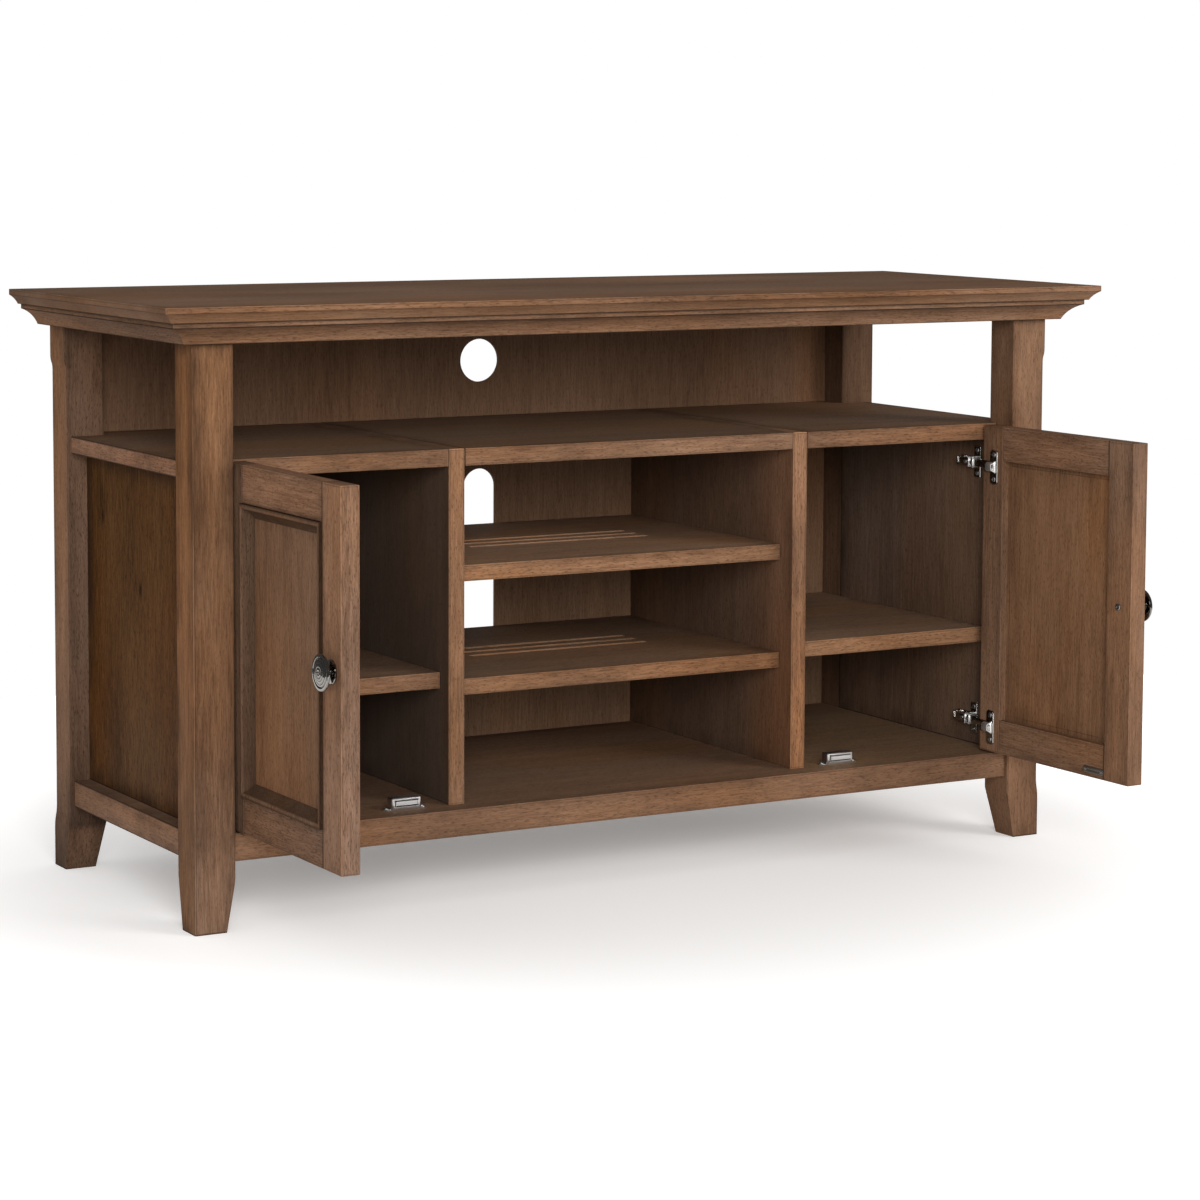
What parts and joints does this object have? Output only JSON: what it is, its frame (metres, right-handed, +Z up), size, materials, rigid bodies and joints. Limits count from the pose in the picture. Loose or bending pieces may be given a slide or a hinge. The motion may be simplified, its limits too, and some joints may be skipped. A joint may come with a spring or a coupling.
{
  "type": "tv stand",
  "caption": "Brown wood tv stand with a moulded top, an open bay, slotted centre shelves, and framed doors on concealed hinges over shelved side bays.",
  "frame": {"origin": "on the floor, under the middle of the rectangle that the stand takes up with its doors open as stored", "axes": "+X to the right seen from the front, +Y from the front to the back, +Z up"},
  "size_m": [1.372, 0.761, 0.763],
  "materials": {
    "top_wood": "dark brown stain, satin lacquer",
    "post_wood": "mid brown stain, satin lacquer",
    "case_wood": "mid brown stain, satin lacquer",
    "back_wood": "dark brown stain, flat",
    "door_wood": "mid brown stain, satin lacquer",
    "nickel": "nickel plate",
    "gunmetal": "polished gunmetal",
    "steel": "zinc plate",
    "dark_steel": "dark bronze",
    "catch_case": "bright plate"
  },
  "bodies": {
    "cabinet": {"top_board": "top_wood", "cornice_front": "top_wood", "cornice_left": "top_wood", "cornice_right": "top_wood", "cornice_back": "top_wood", "post_front_left": "post_wood", "post_front_right": "post_wood", "post_back_left": "post_wood", "post_back_right": "post_wood", "deck_left": "case_wood", "deck_center": "case_wood", "deck_right": "case_wood", "bottom_panel": "case_wood", "divider_left": "case_wood", "divider_right": "case_wood", "side_panel_left": "case_wood", "side_panel_right": "case_wood", "shelf_center_upper": "case_wood", "shelf_center_lower": "case_wood", "shelf_left": "case_wood", "shelf_right": "case_wood", "back_panel": "back_wood", "hinge_plates_left": "nickel", "hinge_plates_right": "nickel", "hinge_arms_left": "nickel", "hinge_arms_right": "nickel", "hinge_plate_screws": "steel", "catch_screws": "steel", "back_screws": "steel", "shelf_pins": "steel", "catch_magnets": "steel", "catch_left": "catch_case", "catch_right": "catch_case"},
    "left_door": {"door_left_stile_hinge": "door_wood", "door_left_stile_free": "door_wood", "door_left_rail_top": "door_wood", "door_left_rail_bottom": "door_wood", "door_left_panel": "door_wood", "door_left_bead": "door_wood", "door_left_hinge_leaves": "nickel", "door_left_hinge_pins": "nickel", "door_left_knob": "gunmetal", "door_left_leaf_screws": "steel", "door_left_strike_screws": "steel", "door_left_knob_screw": "steel", "door_left_strike": "dark_steel"},
    "right_door": {"door_right_stile_hinge": "door_wood", "door_right_stile_free": "door_wood", "door_right_rail_top": "door_wood", "door_right_rail_bottom": "door_wood", "door_right_panel": "door_wood", "door_right_bead": "door_wood", "door_right_hinge_leaves": "nickel", "door_right_hinge_pins": "nickel", "door_right_knob": "gunmetal", "door_right_leaf_screws": "steel", "door_right_strike_screws": "steel", "door_right_knob_screw": "steel", "door_right_strike": "dark_steel"}
  },
  "joints": [
    {"name": "left_door_hinge", "type": "hinge", "parent": "cabinet", "child": "left_door", "pos_m": [-0.5662, -0.07182, 0.34705], "axis": [0, 0, -1], "range_deg": [-90, 8]},
    {"name": "right_door_hinge", "type": "hinge", "parent": "cabinet", "child": "right_door", "pos_m": [0.5662, -0.07182, 0.34705], "axis": [0, 0, 1], "range_deg": [-91.3, 6.7]}
  ]
}
